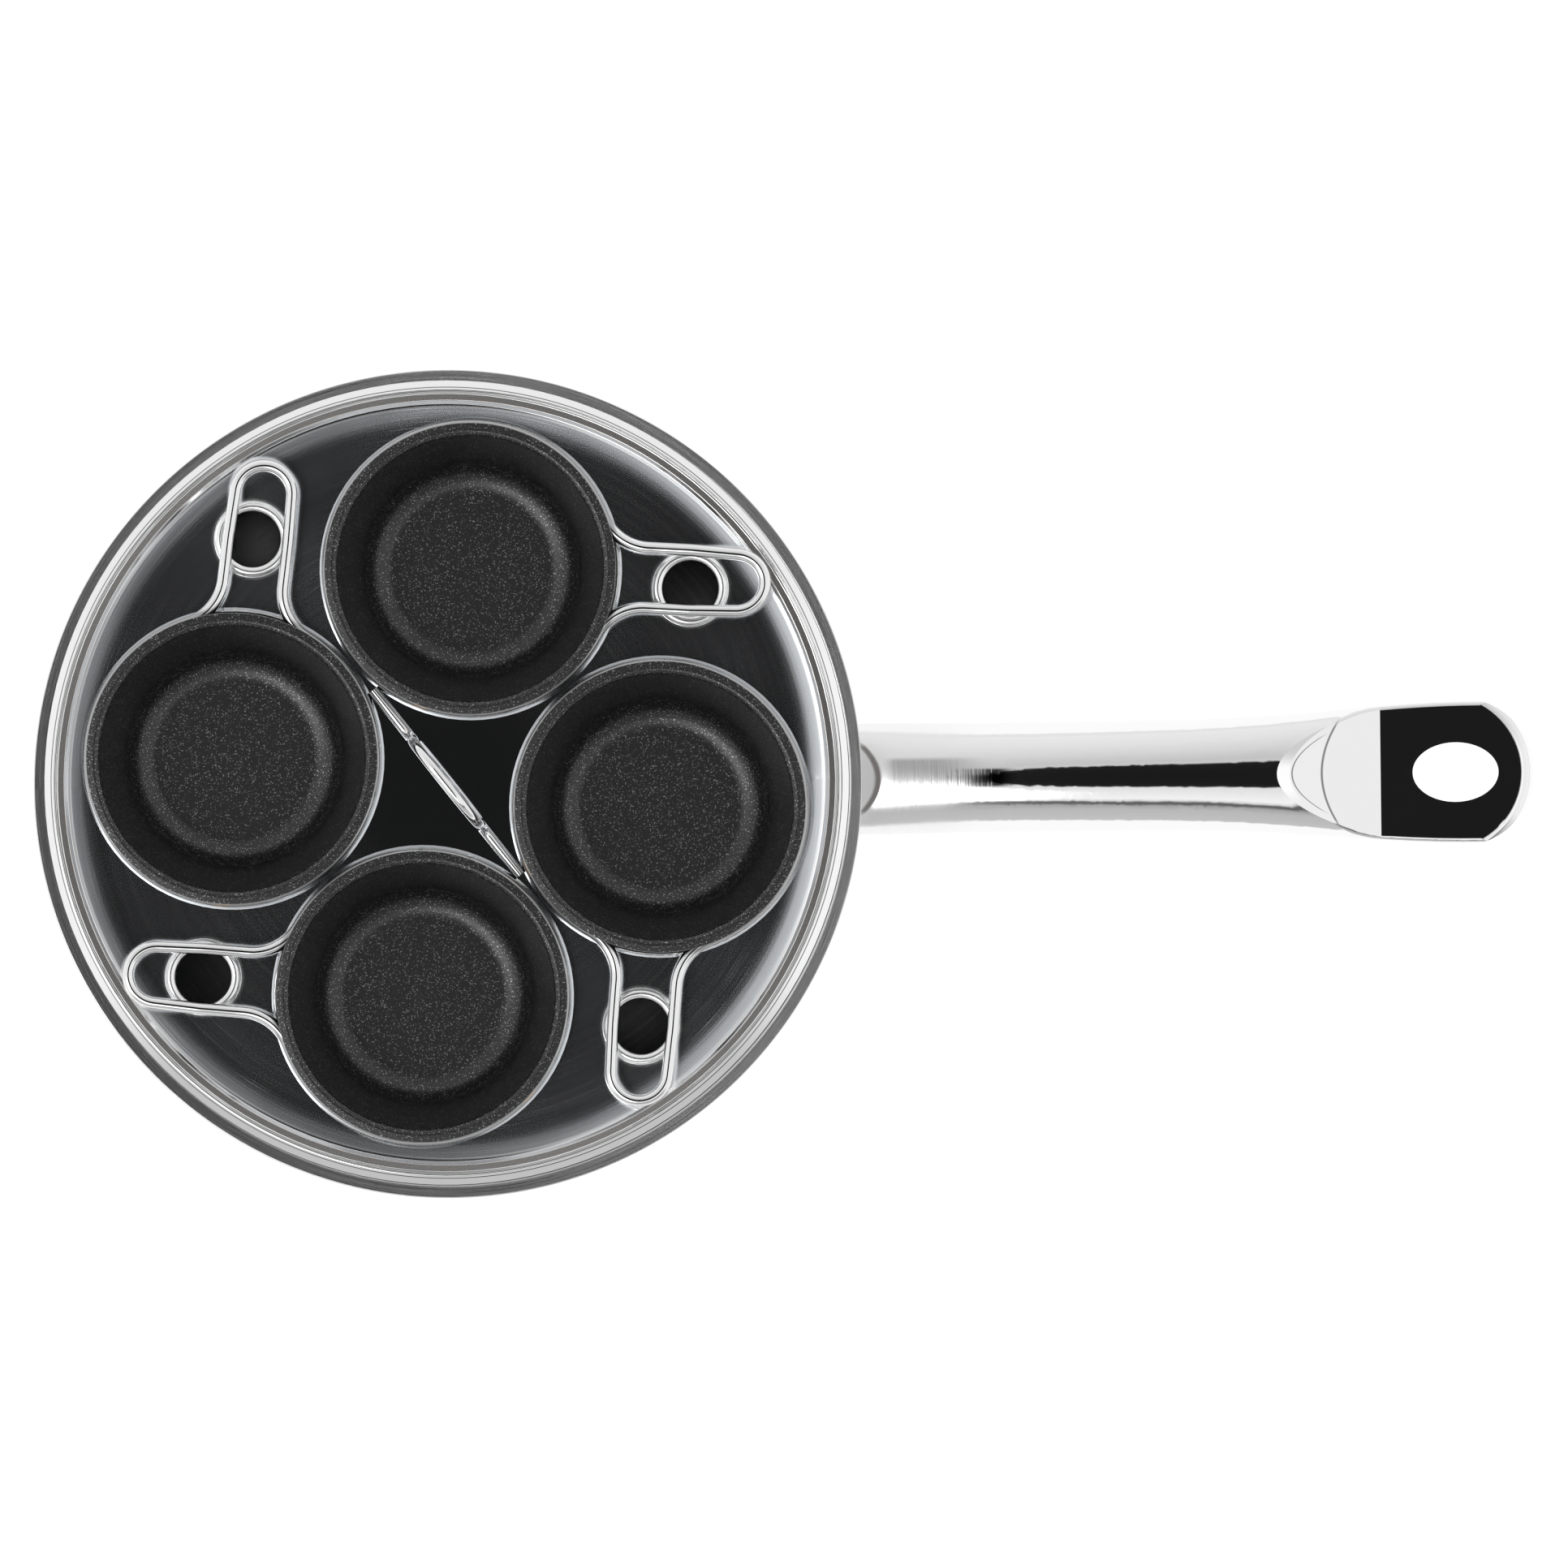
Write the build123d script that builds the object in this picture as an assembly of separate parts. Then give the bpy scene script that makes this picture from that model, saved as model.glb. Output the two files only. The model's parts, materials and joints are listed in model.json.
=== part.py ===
"""Egg poacher pan: a steel pan with a hollow handle, a drop-in tray with steam vents and a
wire lift, and four coated cups that hang in the tray, each in its own wire handle.

Millimetres. The origin is the centre of the pan's underside, +X points along the handle
and +Z is up.
"""
from build123d import *
from math import atan2, cos, degrees, radians, sin, sqrt, tan
import os

# Pan body: drawn steel with a flared pouring lip
pan_height = 70.0
pan_inner_radius = 98.0
pan_wall = 0.8
pan_corner_radius = 8.0
lip_reach = 5.3
lip_rise_deg = 3.5
lip_bend_radius = 2.0

# Base: an aluminium heat spreader closed in by a thin steel cap
base_inset = 6.0
core_thickness = 5.0
cap_sheet = 0.6
cap_bend_radius = 2.0

# Fits between pieces
tray_seat_gap = 0.3
fixed_fit = 0.05
shell_to_pan_gap = 0.2
wire_seat_gap = 0.3
cut_overrun = 5.0

# Poacher tray: how far its rim passes the pan's wall, then each step of its edge inwards
tray_sheet = 0.7
skirt_overlap = 2.3
skirt_width = 2.5
crest_width = 0.8
ledge_width = 1.7
wall_width = 0.7
cove_width = 4.8
skirt_drop = 1.9
crest_rise = 0.8
wall_rise = 1.0
cove_rise = 0.72
cove_bend_radius = 52.0
tray_bend_radius = 0.35
crest_bend_radius = 0.7
tray_shift_x = -0.3
tray_shift_y = 0.35

# Cup places on the tray and the raised collar round each cup hole
cup_count = 4
first_cup_deg = -7.1
collar_edge_gap = 3.3
collar_gap = 0.4
collar_width = 2.1
collar_spread = 0.6
collar_height = 3.0
collar_bend_radius = 0.5

# Steam vents with a rolled bead, halfway between the cups
vent_hole_radius = 6.75
vent_bead_width = 2.85
vent_bead_height = 1.3
vent_edge_gap = 7.3

# Wire that lifts the tray, spot welded along both feet
lift_wire_diameter = 2.6
lift_side_gap = 0.1
lift_arch_length = 28.0
lift_arch_lean = 2.0
lift_arch_height = 15.0
lift_foot_bend = 3.5
lift_top_bend = 10.0

# Cups
cup_hole_play = 0.7
cup_rim_width = 2.9
cup_taper = 8.1
cup_depth = 24.0
cup_sheet = 0.9
cup_floor_bend = 8.0
cup_mouth_bend = 0.7
cup_rim_droop = 0.35

# Wire handle of a cup: a ring under the rim that runs out into a finger loop
wire_diameter = 3.0
ring_tuck = 0.25
loop_length = 37.85
slope_length = 19.45
loop_crest_gap = 1.1
leg_half_gap = 7.5
leg_flare_radius = 13.0
leg_taper_deg = 2.2
leg_bend_radius = 8.0
leg_lead = 2.0
# Bearing of each finger loop, seen from its own cup, counted from the cup's own bearing
loop_turn_deg = [-88.1, -86.6, -90.4, -88.3]

# Handle: two pressed half shells, oval in section, that rise from the pan, level off and
# end in a flat plate. The shares follow its length, width, height and rise.
handle_drop = 10.0
handle_length = 173.6
handle_half_width = 18.1
handle_half_height = 10.8
handle_rise = 7.4
handle_sheet = 0.8
seam_drop = 0.3
station_shares = [0, 0.1275, 0.255, 0.3825, 0.51, 0.6375, 0.765, 0.8925, 1.02]
width_shares = [0.762, 0.762, 0.762, 0.768, 0.776, 0.826, 0.923, 0.985, 1]
height_shares = [0.741, 0.907, 1, 0.972, 0.903, 0.824, 0.722, 0.648, 0.611]
sink_shares = [1, 0.77, 0.554, 0.372, 0.196, 0.061, 0, 0, 0]
plate_length = 38.6
plate_height = 1.0
plate_edge_radius = 1.2
ramp_length = 15.2
ramp_bend_height = 6.3
shoulder_length = 7.8
shoulder_slope_deg = 12.6
shoulder_crown_radius = 150.0
brow_slope_deg = 7.5
brow_crown_radius = 52.0
under_plate_length = 33.6
under_plate_depth = 5.4
under_ramp_length = 33.0
under_ramp_depth = 8.6
tip_margin = 0.4
tip_bevel_margin = 0.3
tip_bevel_depth = 3.4
scoop_radius = 47.3
scoop_depth = 11.2
scoop_setback = 22.15

# Bracket inside the handle's root, welded to the pan
bracket_length = 26.0
bracket_plate = 3.0
bracket_wall = 1.5

# Oval eyelet that lines the hanging hole
eye_setback = 19.8
eye_half_length = 10.75
eye_half_width = 7.45
eye_wall = 0.5
eye_flange = 0.5
eye_flange_thickness = 0.4

# The pan and its base
floor_underside = cap_sheet + core_thickness
pan_floor = floor_underside + pan_wall
pan_outer_radius = pan_inner_radius + pan_wall
core_radius = pan_inner_radius - pan_corner_radius - base_inset
lip_radius = pan_inner_radius + lip_reach
lip_corner_height = pan_height - lip_reach * tan(radians(lip_rise_deg))

# Radii of the tray's edge, from outside in
skirt_radius = pan_inner_radius + skirt_overlap
crest_radius = skirt_radius - skirt_width
ledge_outer_radius = crest_radius - crest_width
wall_top_radius = ledge_outer_radius - ledge_width
wall_foot_radius = wall_top_radius - wall_width
cove_start_radius = wall_foot_radius - cove_width

# Cup places: the collars fill the tray, a named gap apart and a named gap from its wall
half_step_sine = sin(radians(180 / cup_count))
half_step_cosine = cos(radians(180 / cup_count))
collar_room = wall_foot_radius - collar_edge_gap
collar_foot_radius = (collar_room * half_step_sine - collar_gap / 2) / (1 + half_step_sine)
cup_pitch_radius = collar_room - collar_foot_radius
collar_top_radius = collar_foot_radius - collar_spread
collar_hole_radius = collar_top_radius - collar_width
vent_bead_radius = vent_hole_radius + vent_bead_width
vent_pitch_radius = wall_foot_radius - vent_edge_gap - vent_bead_radius

# The cups and their wires
cup_mouth_radius = collar_hole_radius - cup_hole_play - cup_sheet
cup_floor_radius = cup_mouth_radius - cup_taper
cup_rim_radius = cup_mouth_radius + cup_rim_width
ring_radius = cup_mouth_radius + cup_sheet + wire_diameter / 2 - ring_tuck
loop_reach = ring_radius + loop_length
bend_reach = ring_radius + slope_length

# Places along the handle and heights from its middle level
handle_end = pan_inner_radius + handle_length
handle_mid_height = pan_height - handle_drop
ramp_foot_x = handle_end - plate_length
ramp_bend_x = ramp_foot_x - ramp_length
shoulder_x = ramp_bend_x - shoulder_length
slope_lead_x = shoulder_x - shoulder_length
under_plate_x = handle_end - under_plate_length
under_ramp_x = under_plate_x - under_ramp_length
tip_radius = handle_half_width + tip_margin
tip_bevel_radius = tip_radius + tip_bevel_margin
tip_bevel_x = handle_end - tip_bevel_radius - tip_bevel_depth
eye_x = handle_end - eye_setback


def lip_height(radius):
    """Height of the pan's inner surface where the lip flares past a radius."""
    bend = lip_bend_radius + pan_wall
    setback = bend * tan(radians(90 - lip_rise_deg) / 2)
    reach = radius - pan_inner_radius
    if reach < setback * cos(radians(lip_rise_deg)):
        return lip_corner_height - setback + sqrt(bend ** 2 - (bend - reach) ** 2)
    return lip_corner_height + reach * tan(radians(lip_rise_deg))


# Heights from the lip up: the tray's skirt sits on it, the wires on the tray
tray_shift = sqrt(tray_shift_x ** 2 + tray_shift_y ** 2)
skirt_height = lip_height(skirt_radius + tray_shift) + tray_seat_gap
crest_height = skirt_height + skirt_drop
ledge_height = crest_height - crest_rise
tray_height = ledge_height - wall_rise - cove_rise
collar_top = tray_height + collar_height
ring_height = collar_top + wire_seat_gap + wire_diameter / 2
cup_rim_height = ring_height + wire_diameter / 2 + fixed_fit + cup_sheet + cup_rim_droop
loop_height = crest_height + loop_crest_gap + wire_diameter / 2


def turned(outline):
    """Solid of revolution about +Z of a closed outline drawn in the XZ plane."""
    return revolve(make_face(outline), Axis.Z)


def section_point(point):
    """Place a (radius, height) pair in the XZ plane."""
    return (point[0], 0, point[1])


def bent_path(points, bends):
    """Straight runs through the points with a round bend at each inner point."""
    return FilletPolyline(*[section_point(p) for p in points], radius=bends)


def sheet_outline(points, bends, thickness):
    """Outline of a bent sheet. The points run along its upper or inner face, from the
    axis outwards, the sheet lies to the right of them, and bends are inside radii."""
    runs = []
    for here, there in zip(points, points[1:]):
        length = sqrt((there[0] - here[0]) ** 2 + (there[1] - here[1]) ** 2)
        runs.append(((there[0] - here[0]) / length, (there[1] - here[1]) / length))
    sides = [(run[1], -run[0]) for run in runs]
    firsts = [sides[0]] + sides
    seconds = sides + [sides[-1]]
    far_points = []
    for point, first, second in zip(points, firsts, seconds):
        spread = thickness / (1 + first[0] * second[0] + first[1] * second[1])
        far_points.append((point[0] + spread * (first[0] + second[0]),
                           point[1] + spread * (first[1] + second[1])))
    near_bends = []
    far_bends = []
    for first, second, bend in zip(runs, runs[1:], bends):
        turns_left = first[0] * second[1] > first[1] * second[0]
        near_bends.append(bend if turns_left else bend + thickness)
        far_bends.append(bend + thickness if turns_left else bend)
    near = bent_path(points, near_bends)
    far = bent_path(far_points, far_bends)
    start = Line(section_point(points[0]), section_point(far_points[0]))
    end = Line(section_point(points[-1]), section_point(far_points[-1]))
    return near + far + start + end


def pan_body():
    points = [(0, pan_floor), (pan_inner_radius, pan_floor),
              (pan_inner_radius, lip_corner_height), (lip_radius, pan_height)]
    return turned(sheet_outline(points, [pan_corner_radius, lip_bend_radius], pan_wall))


def base_core():
    core = Pos(Z=cap_sheet) * Cylinder(core_radius, core_thickness,
                                       align=(Align.CENTER, Align.CENTER, Align.MIN))
    lower_edge = core.edges().sort_by(Axis.Z)[0]
    return fillet(lower_edge, cap_bend_radius + fixed_fit)


def base_cap():
    inner = core_radius + fixed_fit
    points = [(0, cap_sheet), (inner, cap_sheet), (inner, floor_underside)]
    near = bent_path(points, [cap_bend_radius])
    outer = inner + cap_sheet
    far = bent_path([(0, 0), (outer, 0), (outer, floor_underside)],
                    [cap_bend_radius + cap_sheet])
    start = Line(section_point((0, 0)), section_point((0, cap_sheet)))
    end = Line(section_point((inner, floor_underside)), section_point((outer, floor_underside)))
    return turned(near + far + start + end)


def polar_place(radius, turn_deg, height=0):
    """Place at a radius and bearing from the tray's centre, turned to face outwards."""
    centre = Pos(tray_shift_x, tray_shift_y, height)
    return centre * Rot(Z=turn_deg) * Pos(X=radius)


def tray_disc():
    """The pressed disc: flat, coved up at its edge, with a lid ledge and a turned-down rim."""
    cove_height = tray_height + cove_rise
    top = [(0, tray_height), (cove_start_radius, tray_height), (wall_foot_radius, cove_height),
           (wall_top_radius, ledge_height), (ledge_outer_radius, ledge_height),
           (crest_radius, crest_height), (skirt_radius, skirt_height)]
    top_bends = [cove_bend_radius, tray_bend_radius, tray_bend_radius, tray_bend_radius,
                 crest_bend_radius]
    under = [(0, tray_height - tray_sheet), (cove_start_radius, tray_height - tray_sheet),
             (wall_foot_radius + tray_sheet, cove_height - tray_sheet),
             (wall_top_radius + tray_sheet, ledge_height - tray_sheet),
             (crest_radius, crest_height - crest_rise), (skirt_radius - tray_sheet, skirt_height)]
    under_bends = [cove_bend_radius, tray_bend_radius, tray_bend_radius, tray_bend_radius]
    start = Line(section_point(top[0]), section_point(under[0]))
    end = Line(section_point(top[-1]), section_point(under[-1]))
    return turned(bent_path(top, top_bends) + bent_path(under, under_bends) + start + end)


def tray_collar():
    """Raised collar round a cup hole, as a sheet that climbs and turns inwards. Its foot
    is sunk half a sheet into the disc."""
    sink = tray_sheet / 2
    foot_radius = collar_foot_radius + sink * collar_spread / collar_height
    outer = [(foot_radius, -sink), (collar_top_radius, collar_height),
             (collar_hole_radius, collar_height)]
    inner = [(foot_radius - tray_sheet, -sink),
             (collar_top_radius - tray_sheet, collar_height - tray_sheet),
             (collar_hole_radius, collar_height - tray_sheet)]
    inner_path = Polyline(*[section_point(p) for p in inner])
    foot = Line(section_point(outer[0]), section_point(inner[0]))
    mouth = Line(section_point(outer[-1]), section_point(inner[-1]))
    return turned(bent_path(outer, [collar_bend_radius]) + inner_path + foot + mouth)


def vent_bead():
    """Round bead that stiffens the edge of a steam vent, sunk half a sheet into the disc."""
    sink = tray_sheet / 2
    middle = (vent_hole_radius + vent_bead_radius) / 2
    crown = ThreePointArc((vent_hole_radius, 0, -sink), (middle, 0, vent_bead_height),
                          (vent_bead_radius, 0, -sink))
    return turned(crown + Line((vent_bead_radius, 0, -sink), (vent_hole_radius, 0, -sink)))


def cup_turn(index):
    """Bearing of a cup from the tray's centre."""
    return first_cup_deg + index * 360 / cup_count


def vent_turn(index):
    """Bearing halfway between a cup and the next one."""
    return cup_turn(index + 1 / 2)


def poacher_tray():
    tray = Pos(tray_shift_x, tray_shift_y) * tray_disc()
    hole = Cylinder(collar_foot_radius - tray_sheet / 2, pan_height)
    vent = Cylinder(vent_hole_radius + tray_sheet / 2, pan_height)
    for index in range(cup_count):
        tray -= polar_place(cup_pitch_radius, cup_turn(index), pan_height) * hole
        tray -= polar_place(vent_pitch_radius, vent_turn(index), pan_height) * vent
    collar = tray_collar()
    bead = vent_bead()
    for index in range(cup_count):
        tray += polar_place(cup_pitch_radius, cup_turn(index), tray_height) * collar
        tray += polar_place(vent_pitch_radius, vent_turn(index), tray_height) * bead
    return tray


def wire_along(path, diameter):
    """Round wire swept along a path, from the path's own start."""
    start = Plane(origin=path @ 0, z_dir=path % 0)
    return sweep(start * Circle(diameter / 2), path)


def tray_lift_handle():
    """Wire arch with two straight feet that lie on the tray, between the collars. A foot
    ends where a collar leaves it no more than the named gap."""
    seat = lift_wire_diameter / 2 + fixed_fit
    collar_here = collar_foot_radius - collar_spread * seat / collar_height
    reach = collar_here + lift_wire_diameter / 2 + lift_side_gap
    foot_end = (cup_pitch_radius * half_step_cosine
                - sqrt(reach ** 2 - (cup_pitch_radius * half_step_sine) ** 2))
    arch_foot = lift_arch_length / 2
    arch_top = arch_foot - lift_arch_lean
    points = [(-foot_end, 0), (-arch_foot, 0), (-arch_top, lift_arch_height),
              (arch_top, lift_arch_height), (arch_foot, 0), (foot_end, 0)]
    path = bent_path(points, [lift_foot_bend, lift_top_bend, lift_top_bend, lift_foot_bend])
    return polar_place(0, vent_turn(1), tray_height + seat) * wire_along(path, lift_wire_diameter)


def cup():
    """Round cup with a flat floor, a steep wall and a flat rim, on its own axis."""
    floor_height = cup_rim_height - cup_depth
    points = [(0, floor_height), (cup_floor_radius, floor_height),
              (cup_mouth_radius, cup_rim_height), (cup_rim_radius, cup_rim_height - cup_rim_droop)]
    return turned(sheet_outline(points, [cup_floor_bend, cup_mouth_bend], cup_sheet))


def cup_handle():
    """Closed wire: a ring round the cup, flared out into two legs and a round finger loop.
    It is drawn with its loop along +X and its cup's axis at the origin."""
    flare_x = sqrt((ring_radius + leg_flare_radius) ** 2 - (leg_half_gap + leg_flare_radius) ** 2)
    flare_y = leg_half_gap + leg_flare_radius
    taper = radians(leg_taper_deg)
    narrow = leg_half_gap - (loop_reach - bend_reach) * tan(taper)
    loop_radius = narrow * cos(taper) / (1 - sin(taper))
    loop_x = loop_reach - loop_radius
    leave_deg = degrees(atan2(flare_y, flare_x))

    ring_arc = CenterArc((0, 0, ring_height), ring_radius, 180, leave_deg - 180)
    flare_arc = CenterArc((flare_x, flare_y, ring_height), leg_flare_radius,
                          180 + leave_deg, 90 - leave_deg)
    leg = FilletPolyline(
        (flare_x, leg_half_gap, ring_height),
        (flare_x + leg_lead, leg_half_gap, ring_height),
        (bend_reach, leg_half_gap, loop_height),
        (loop_x + loop_radius * sin(taper), loop_radius * cos(taper), loop_height),
        radius=leg_bend_radius)
    loop_arc = CenterArc((loop_x, 0, loop_height), loop_radius,
                         90 - leg_taper_deg, leg_taper_deg - 90)
    half = wire_along(ring_arc + flare_arc + leg + loop_arc, wire_diameter)
    return half + mirror(half, Plane.XZ)


def middle_points():
    """Points of the handle's middle line, with heights from its level outer end."""
    return [(pan_inner_radius + handle_length * along, -handle_rise * sink)
            for along, sink in zip(station_shares, sink_shares)]


def handle_form(inset):
    """The handle's outer form with every surface moved in by the inset."""
    sections = []
    for middle, width, height in zip(middle_points(), width_shares, height_shares):
        plane = Plane(origin=section_point(middle), x_dir=(0, 1, 0), z_dir=(1, 0, 0))
        sections.append(plane * Ellipse(handle_half_width * width - inset,
                                        handle_half_height * height - inset))
    form = loft(sections)

    ramp_slope = (ramp_bend_height - plate_height) / ramp_length
    ramp_rise = ramp_slope * (ramp_foot_x - slope_lead_x)
    plate_top = plate_height - inset
    lead = (slope_lead_x, plate_top + ramp_rise)
    past_end = handle_end + cut_overrun
    high = 2 * handle_half_height
    top = FilletPolyline(
        section_point(lead), section_point((ramp_foot_x, plate_top)),
        section_point((past_end, plate_top)), radius=handle_sheet + inset)
    lid = Polyline(section_point(lead), section_point((slope_lead_x, high)),
                   section_point((past_end, high)), section_point((past_end, plate_top)))
    form -= extrude(make_face(top + lid), 2 * handle_half_width, both=True)
    if plate_edge_radius > inset:
        level_edges = form.edges().filter_by_position(Axis.Z, plate_top - fixed_fit,
                                                      plate_top + fixed_fit)
        side_edges = level_edges.filter_by(lambda edge: abs(edge.center().Y) > plate_edge_radius)
        form = fillet(side_edges.sort_by(SortBy.LENGTH)[-2:], plate_edge_radius - inset)
    brow_height = ramp_bend_height + shoulder_length * tan(radians(shoulder_slope_deg))
    form -= above_slope(ramp_bend_x, ramp_bend_height - inset, shoulder_slope_deg,
                        shoulder_crown_radius - inset)
    form -= above_slope(shoulder_x, brow_height - inset, brow_slope_deg,
                        brow_crown_radius - inset)

    under = Polyline(
        section_point((under_ramp_x, inset - under_ramp_depth)),
        section_point((under_plate_x, inset - under_plate_depth)),
        section_point((past_end, inset - under_plate_depth)),
        section_point((past_end, -high)),
        section_point((under_ramp_x, -high)), close=True)
    form -= extrude(make_face(under), 2 * handle_half_width, both=True)
    return trimmed_tip(form, inset, plate_top) - root_scoop(inset)


def above_slope(foot_x, foot_height, slope_deg, radius):
    """What a slightly crowned slope cuts off between the handle's back and its ramp."""
    slope = radians(slope_deg)
    foot = section_point((foot_x, foot_height))
    middle = (foot[0] - radius * sin(slope), 0, foot[2] - radius * cos(slope))
    crown = Plane(origin=middle, z_dir=(cos(slope), 0, -sin(slope))) * Cylinder(
        radius, 2 * handle_end)
    length = ramp_foot_x - slope_lead_x
    high = 2 * handle_half_height
    room = Pos(X=slope_lead_x + length / 2, Z=high / 2) * Box(
        length, 4 * handle_half_width, high)
    return room - crown


def trimmed_tip(form, inset, plate_top):
    """Round the hanging end in plan and bevel it down from the plate."""
    deep = 2 * handle_half_height
    tip_x = handle_end - tip_radius
    body = Box(2 * handle_end, 4 * handle_half_width, 2 * deep)
    plan = Pos(X=tip_x - handle_end) * body + Pos(X=tip_x) * Cylinder(tip_radius - inset, 2 * deep)
    start = (tip_bevel_radius - inset, plate_top)
    finish = (start[0] + tip_bevel_depth, plate_top - tip_bevel_depth)
    arc = ThreePointArc(
        section_point(start),
        section_point((start[0] + tip_bevel_depth * sin(radians(45)),
                       plate_top - tip_bevel_depth * (1 - cos(radians(45))))),
        section_point(finish))
    sides = Polyline(section_point(finish), section_point((finish[0], -deep)),
                     section_point((0, -deep)), section_point((0, plate_top)),
                     section_point(start))
    dome = Pos(X=tip_bevel_x - handle_end) * body + Pos(X=tip_bevel_x) * turned(arc + sides)
    return form & plan & dome


def root_scoop(inset):
    """Round hollow pressed into the top of the handle where it meets the pan."""
    crown = handle_half_height * height_shares[0] - handle_rise
    centre_x = pan_inner_radius - scoop_setback
    return Pos(centre_x, 0, crown + scoop_radius - scoop_depth) * Sphere(scoop_radius + inset)


def pan_wall_cutter(gap):
    return Cylinder(pan_outer_radius + gap, 4 * pan_height)


def eye_hole(margin):
    oval = Ellipse(eye_half_length + margin, eye_half_width + margin)
    return Pos(X=eye_x) * extrude(oval, handle_end, both=True)


def handle_shells():
    """Both half shells, split just under the handle's middle line, in place."""
    form = handle_form(0) - handle_form(handle_sheet)
    form -= eye_hole(eye_wall + fixed_fit)
    form -= pan_wall_cutter(shell_to_pan_gap)
    middles = [(x, 0, height - seam_drop) for x, height in middle_points()]
    first = middles[0]
    last = middles[-1]
    upper = make_face(Spline(*middles) + Polyline(
        last, (last[0], 0, pan_height), (first[0], 0, pan_height), first))
    half = extrude(upper, 2 * handle_half_width, both=True)
    lift = Pos(Z=handle_mid_height)
    return lift * (form & half), lift * (form - half)


def handle_bracket():
    """Socket welded to the pan's wall, which the handle's root slides over."""
    form = handle_form(handle_sheet + fixed_fit)
    hollow = handle_form(handle_sheet + fixed_fit + bracket_wall)
    wall_x = pan_outer_radius + fixed_fit
    keep = Pos(X=wall_x + bracket_length / 2 - cut_overrun / 2) * Box(
        bracket_length + cut_overrun, 2 * handle_end, 2 * handle_end)
    bore = Pos(X=wall_x + bracket_plate + bracket_length / 2) * Box(
        bracket_length, 2 * handle_end, 2 * handle_end)
    bracket = (form & keep) - (hollow & bore) - pan_wall_cutter(fixed_fit)
    return Pos(Z=handle_mid_height) * bracket


def hanging_eyelet():
    """Oval lining of the hanging hole with a thin flange on each face of the plate."""
    lining = Ellipse(eye_half_length + eye_wall, eye_half_width + eye_wall)
    flange = Ellipse(eye_half_length + eye_wall + eye_flange, eye_half_width + eye_wall + eye_flange)
    bore = Ellipse(eye_half_length, eye_half_width)
    depth = plate_height + under_plate_depth
    tube = Pos(Z=-under_plate_depth) * extrude(lining - bore, depth)
    top = Pos(Z=plate_height) * extrude(flange - bore, eye_flange_thickness)
    under = Pos(Z=-under_plate_depth) * extrude(flange - bore, -eye_flange_thickness)
    return Pos(eye_x, 0, handle_mid_height) * (tube + top + under)


def save(name, solid):
    export_step(solid, "parts/" + name + ".step")


os.makedirs("parts", exist_ok=True)
save("pan_body", pan_body())
save("base_core", base_core())
save("base_cap", base_cap())
top_shell, bottom_shell = handle_shells()
save("handle_top_shell", top_shell)
save("handle_bottom_shell", bottom_shell)
save("handle_bracket", handle_bracket())
save("hanging_eyelet", hanging_eyelet())
save("poacher_tray", poacher_tray())
save("tray_lift_handle", tray_lift_handle())
one_cup = cup()
one_handle = cup_handle()
for number in range(cup_count):
    place = polar_place(cup_pitch_radius, cup_turn(number))
    save(f"cup_{number + 1}", place * one_cup)
    save(f"cup_handle_{number + 1}", place * Rot(Z=loop_turn_deg[number]) * one_handle)
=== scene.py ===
"""Looks of the egg poacher pan: polished and brushed steel, coated cups and a plain studio.

Everything is in metres in the pan's own frame: the origin is the centre of its underside,
+X points along the handle and +Z is up.
"""
import json
from math import acos, atan2, cos, degrees, pi, radians, sin, sqrt, tan

import bpy
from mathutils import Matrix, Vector


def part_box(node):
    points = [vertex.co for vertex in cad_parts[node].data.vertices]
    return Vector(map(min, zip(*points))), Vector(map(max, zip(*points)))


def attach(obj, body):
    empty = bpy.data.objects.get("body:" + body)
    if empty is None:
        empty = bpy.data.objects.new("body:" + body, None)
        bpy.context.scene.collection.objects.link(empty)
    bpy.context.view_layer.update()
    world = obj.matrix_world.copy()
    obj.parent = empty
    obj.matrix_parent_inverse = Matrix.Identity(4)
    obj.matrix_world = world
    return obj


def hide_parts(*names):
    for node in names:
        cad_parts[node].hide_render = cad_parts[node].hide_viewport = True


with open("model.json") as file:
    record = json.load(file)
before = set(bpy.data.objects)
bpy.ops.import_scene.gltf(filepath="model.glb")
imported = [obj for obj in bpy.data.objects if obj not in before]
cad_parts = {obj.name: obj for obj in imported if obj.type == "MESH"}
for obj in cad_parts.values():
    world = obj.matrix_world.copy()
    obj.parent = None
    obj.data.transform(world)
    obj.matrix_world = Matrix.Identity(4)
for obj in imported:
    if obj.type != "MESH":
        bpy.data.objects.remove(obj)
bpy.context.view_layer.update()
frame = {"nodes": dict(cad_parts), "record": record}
record = frame["record"]

mm = 0.001

# Pan body
pan_inner_radius = 98.0 * mm
pan_height = 70.0 * mm
pan_floor = 6.4 * mm
pan_sheet = 0.8 * mm
pan_corner_bend = 8.0 * mm
lip_reach = 5.28 * mm
lip_rise_deg = 3.5
lip_bend = 2.0 * mm
lip_edge_bend = 0.3 * mm

# Cups
cup_count = 4
cup_step_deg = 360 / cup_count
cup_floor_radius = 25.3 * mm
cup_mouth_radius = 33.4 * mm
cup_rim_radius = 36.3 * mm
cup_depth = 24.0 * mm
cup_sheet = 0.9 * mm
cup_rim_droop = 0.35 * mm
cup_floor_bend = 8.0 * mm
cup_mouth_bend = 0.7 * mm
cup_edge_bend = 0.25 * mm

# Places on the tray, as the solids have them
tray_centre = (-0.3 * mm, 0.35 * mm)
cup_pitch_radius = 53.6 * mm
cup_rim_height = 77.125 * mm
tray_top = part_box("tray_lift_handle")[0][2]
first_cup_deg = -7.1
loop_turn_deg = (-88.1, -86.6, -90.4, -88.3)

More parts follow.
